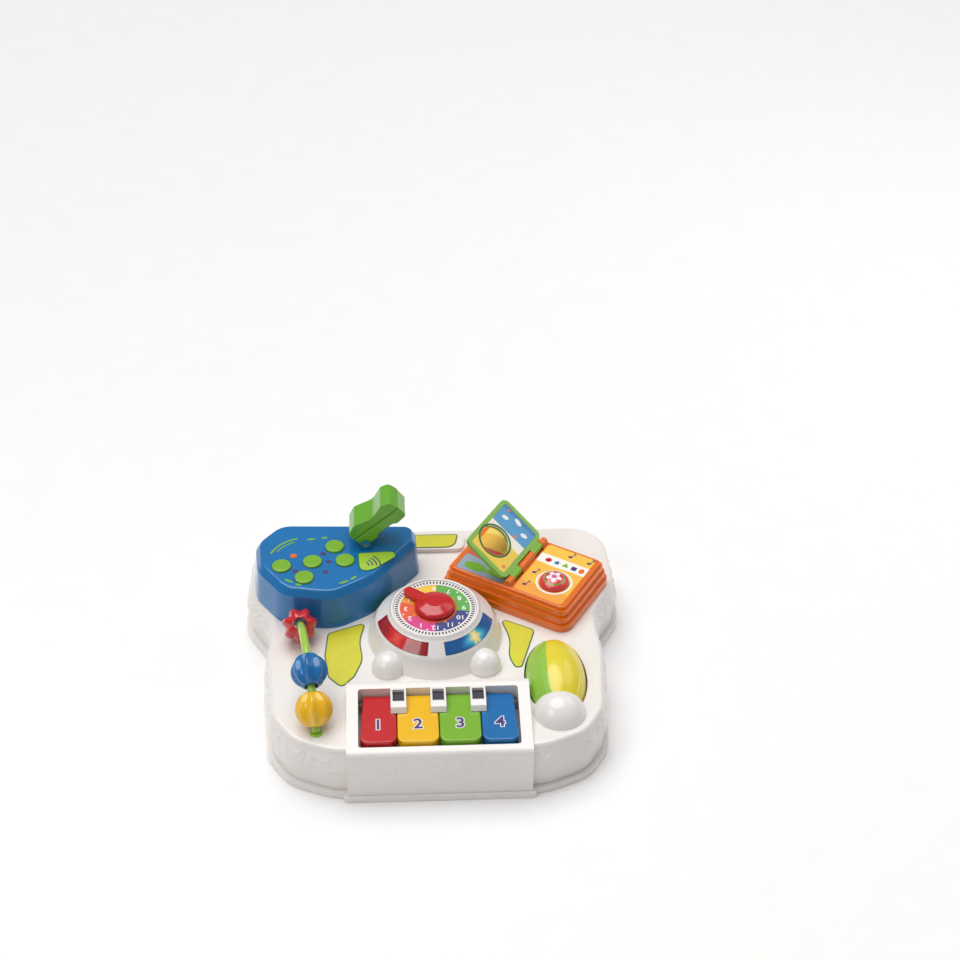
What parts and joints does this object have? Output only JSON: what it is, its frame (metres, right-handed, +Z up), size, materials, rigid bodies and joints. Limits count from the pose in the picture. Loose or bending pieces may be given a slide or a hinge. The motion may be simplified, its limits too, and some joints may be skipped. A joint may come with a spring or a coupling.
{
  "type": "musical activity table",
  "caption": "Baby activity table top on the floor: piano keys in front, turning dial in the middle, toy phone and book behind, bead arch at left, roller at right.",
  "frame": {"origin": "on the floor under the middle of the dial and of the table", "axes": "+Z up, -Y towards the keyboard, +X towards the roller"},
  "size_m": [0.4018, 0.356, 0.1633],
  "materials": {
    "shell_white": "gloss",
    "white_trim": "gloss",
    "red_plastic": "gloss",
    "yellow_plastic": "gloss",
    "green_plastic": "gloss",
    "blue_plastic": "gloss",
    "orange_plastic": "gloss",
    "dark_plastic": "gloss",
    "window_red": "gloss",
    "window_blue": "gloss",
    "print_card": "satin",
    "label_yellow": "satin",
    "steel": "brushed",
    "board_green": "satin",
    "rubber_grey": "matte",
    "cell_wrap": "satin",
    "lamp_clear": "gloss"
  },
  "bodies": {
    "table": {"back_label": "label_yellow", "base_plate": "shell_white", "batteries": "cell_wrap", "battery_door": "white_trim", "bead_rod": "green_plastic", "black_key_frames": "white_trim", "black_keys": "dark_plastic", "blue_key_dome": "rubber_grey", "blue_window": "window_blue", "book_base": "orange_plastic", "book_button_dome": "rubber_grey", "case_screws": "steel", "circuit_board": "board_green", "crescent_left": "label_yellow", "crescent_right": "label_yellow", "deck_label_left": "label_yellow", "deck_label_right": "label_yellow", "dial_face": "print_card", "dial_housing": "white_trim", "door_screw": "steel", "green_key_dome": "rubber_grey", "handset_pin": "steel", "key_carrier": "white_trim", "key_rod": "steel", "keypad_mat": "rubber_grey", "lamps": "lamp_clear", "left_page_print": "print_card", "page_pin": "steel", "phone_body": "blue_plastic", "phone_label": "print_card", "red_key_dome": "rubber_grey", "red_window": "window_red", "right_page_print": "print_card", "roller_axle": "steel", "roller_cap": "white_trim", "roller_cup": "white_trim", "speaker": "dark_plastic", "tick_ring": "print_card", "top_shell": "shell_white", "yellow_key_dome": "rubber_grey"},
    "blue_bead_body": {"blue_bead": "blue_plastic"},
    "blue_key_body": {"blue_key": "blue_plastic"},
    "book_button_body": {"book_button": "red_plastic"},
    "dial": {"dial_knob": "red_plastic", "knob_shaft": "white_trim"},
    "green_key_body": {"green_key": "green_plastic"},
    "handset": {"handset_lower": "green_plastic", "handset_upper": "green_plastic"},
    "page": {"page_frame": "green_plastic", "page_print": "print_card"},
    "phone_button_1_body": {"phone_button_1": "green_plastic"},
    "phone_button_2_body": {"phone_button_2": "green_plastic"},
    "phone_button_3_body": {"phone_button_3": "green_plastic"},
    "phone_button_4_body": {"phone_button_4": "green_plastic"},
    "phone_button_5_body": {"phone_button_5": "green_plastic"},
    "red_bead_body": {"red_bead": "red_plastic"},
    "red_key_body": {"red_key": "red_plastic"},
    "roller_body": {"roller": "yellow_plastic"},
    "yellow_bead_body": {"yellow_bead": "yellow_plastic"},
    "yellow_key_body": {"yellow_key": "yellow_plastic"}
  },
  "joints": [
    {"name": "red_key_press", "type": "hinge", "parent": "table", "child": "red_key_body", "pos_m": [-0.06, -0.092, 0.051], "axis": [1, 0, 0], "range_deg": [0, 3.5], "stiffness_Nm_per_rad": 0.8, "springref_deg": -3.44, "deforming": ["red_key_dome"]},
    {"name": "yellow_key_press", "type": "hinge", "parent": "table", "child": "yellow_key_body", "pos_m": [-0.02075, -0.092, 0.051], "axis": [1, 0, 0], "range_deg": [0, 3.5], "stiffness_Nm_per_rad": 0.8, "springref_deg": -3.44, "deforming": ["yellow_key_dome"]},
    {"name": "green_key_press", "type": "hinge", "parent": "table", "child": "green_key_body", "pos_m": [0.02075, -0.092, 0.051], "axis": [1, 0, 0], "range_deg": [0, 3.5], "stiffness_Nm_per_rad": 0.8, "springref_deg": -3.44, "deforming": ["green_key_dome"]},
    {"name": "blue_key_press", "type": "hinge", "parent": "table", "child": "blue_key_body", "pos_m": [0.06, -0.092, 0.051], "axis": [1, 0, 0], "range_deg": [0, 3.5], "stiffness_Nm_per_rad": 0.8, "springref_deg": -3.44, "deforming": ["blue_key_dome"]},
    {"name": "dial_turn", "type": "hinge", "parent": "table", "child": "dial", "pos_m": [0, 0, 0.097], "axis": [0, 0, 1], "continuous": true},
    {"name": "roller_spin", "type": "hinge", "parent": "table", "child": "roller_body", "pos_m": [0.12, -0.071, 0.053], "axis": [0, 1, 0], "continuous": true},
    {"name": "handset_lift", "type": "hinge", "parent": "table", "child": "handset", "pos_m": [-0.07, 0.105, 0.11], "axis": [0, -1, 0], "range_deg": [-42, 26]},
    {"name": "page_turn", "type": "hinge", "parent": "table", "child": "page", "pos_m": [0.099, 0.076, 0.0906], "axis": [0.5299, 0.848, 0], "range_deg": [-36, 144]},
    {"name": "book_button_press", "type": "slide", "parent": "table", "child": "book_button_body", "axis": [0, 0, -1], "range_m": [0, 0.003], "stiffness_N_per_m": 300, "springref_m": -0.002, "deforming": ["book_button_dome"]},
    {"name": "phone_button_1_press", "type": "slide", "parent": "table", "child": "phone_button_1_body", "axis": [0, 0, -1], "range_m": [0, 0.002], "stiffness_N_per_m": 300, "springref_m": -0.002},
    {"name": "phone_button_2_press", "type": "slide", "parent": "table", "child": "phone_button_2_body", "axis": [0, 0, -1], "range_m": [0, 0.002], "stiffness_N_per_m": 300, "springref_m": -0.002},
    {"name": "phone_button_3_press", "type": "slide", "parent": "table", "child": "phone_button_3_body", "axis": [0, 0, -1], "range_m": [0, 0.002], "stiffness_N_per_m": 300, "springref_m": -0.002},
    {"name": "phone_button_4_press", "type": "slide", "parent": "table", "child": "phone_button_4_body", "axis": [0, 0, -1], "range_m": [0, 0.002], "stiffness_N_per_m": 300, "springref_m": -0.002},
    {"name": "phone_button_5_press", "type": "slide", "parent": "table", "child": "phone_button_5_body", "axis": [0, 0, -1], "range_m": [0, 0.002], "stiffness_N_per_m": 300, "springref_m": -0.002},
    {"name": "yellow_bead_slide", "type": "hinge", "parent": "table", "child": "yellow_bead_body", "pos_m": [-0.1305, -0.066, 0.022], "axis": [-0.991, -0.134, 0], "range_deg": [0, 14.5]},
    {"name": "blue_bead_slide", "type": "hinge", "parent": "yellow_bead_body", "child": "blue_bead_body", "pos_m": [-0.1305, -0.066, 0.022], "axis": [-0.991, -0.134, 0], "range_deg": [0, 14.5]},
    {"name": "red_bead_slide", "type": "hinge", "parent": "table", "child": "red_bead_body", "pos_m": [-0.1305, -0.066, 0.022], "axis": [-0.991, -0.134, 0], "range_deg": [-14.5, 0]}
  ]
}
